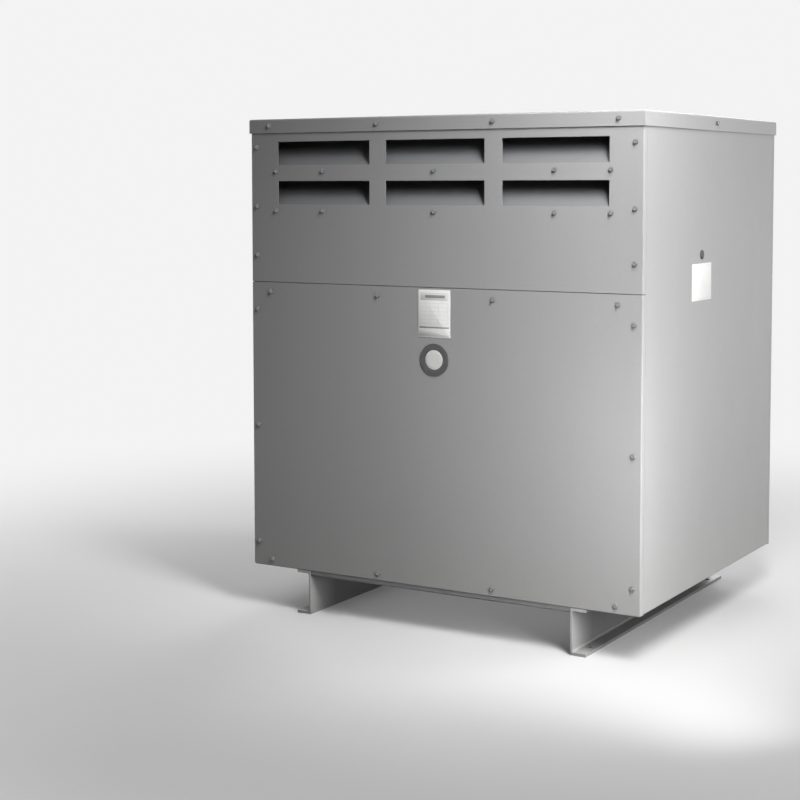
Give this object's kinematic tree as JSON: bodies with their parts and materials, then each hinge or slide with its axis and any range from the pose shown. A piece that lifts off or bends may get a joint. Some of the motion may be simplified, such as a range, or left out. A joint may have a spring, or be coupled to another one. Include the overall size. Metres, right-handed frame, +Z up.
{
  "type": "dry-type distribution transformer",
  "caption": "Ventilated floor-standing transformer: grey sheet-metal cabinet with vent rows and baffles on channel feet, around a core with wound coils.",
  "frame": {"origin": "on the floor, under the middle of the cabinet", "axes": "+Z up, the front with the rating plate faces -Y, the side with the label faces +X"},
  "size_m": [1.238, 1.043, 1.427],
  "materials": {
    "cabinet_paint": "satin light grey powder coat",
    "frame_paint": "satin grey paint",
    "foot_paint": "satin dark grey paint",
    "plated_steel": "zinc plated",
    "plate_white": "matt white film",
    "badge_grey": "matt grey with a pale middle",
    "plug_black": "matt black",
    "core_steel": "varnished laminations",
    "clamp_paint": "satin blue-grey primer",
    "winding_varnish": "amber impregnating varnish",
    "insulation_board": "red glass-polyester board",
    "bus_aluminium": "bare bar",
    "copper_bar": "bare copper",
    "brass_stud": "bare brass",
    "pad_rubber": "ribbed black rubber"
  },
  "bodies": {
    "root": {"front_upper_panel": "cabinet_paint", "front_lower_cover": "cabinet_paint", "rear_upper_panel": "cabinet_paint", "rear_lower_cover": "cabinet_paint", "side_panel_left": "cabinet_paint", "side_panel_right": "cabinet_paint", "top_cover": "cabinet_paint", "baffle_front_upper": "cabinet_paint", "baffle_front_lower": "cabinet_paint", "baffle_rear_upper": "cabinet_paint", "baffle_rear_lower": "cabinet_paint", "base_rail_front": "frame_paint", "base_rail_rear": "frame_paint", "post_front_left": "frame_paint", "post_front_right": "frame_paint", "post_rear_left": "frame_paint", "post_rear_right": "frame_paint", "top_rail_front": "frame_paint", "top_rail_rear": "frame_paint", "mid_rail_front": "frame_paint", "mid_rail_rear": "frame_paint", "foot_left": "foot_paint", "foot_right": "foot_paint", "core_beam_front": "foot_paint", "core_beam_rear": "foot_paint", "panel_screws": "plated_steel", "hex_bolts": "plated_steel", "hex_nuts": "plated_steel", "clamp_bolts": "plated_steel", "tie_rods": "plated_steel", "ground_spacers": "plated_steel", "rating_plate": "plate_white", "side_label": "plate_white", "round_badge": "badge_grey", "side_plug": "plug_black", "core_legs": "core_steel", "core_top_yoke": "core_steel", "clamp_lower_front": "clamp_paint", "clamp_lower_rear": "clamp_paint", "clamp_upper_front": "clamp_paint", "clamp_upper_rear": "clamp_paint", "lifting_lugs": "clamp_paint", "lv_winding_a": "winding_varnish", "lv_winding_b": "winding_varnish", "lv_winding_c": "winding_varnish", "hv_winding_a": "winding_varnish", "hv_winding_b": "winding_varnish", "hv_winding_c": "winding_varnish", "duct_sticks": "insulation_board", "coil_blocks": "insulation_board", "lv_terminal_board": "insulation_board", "hv_terminal_board": "insulation_board", "hv_tap_boards": "insulation_board", "lv_bus_bars": "bus_aluminium", "neutral_bar": "bus_aluminium", "hv_leads": "copper_bar", "ground_bar": "copper_bar", "ground_strap": "copper_bar", "hv_tap_studs": "brass_stud", "isolation_pads": "pad_rubber"}
  },
  "joints": []
}
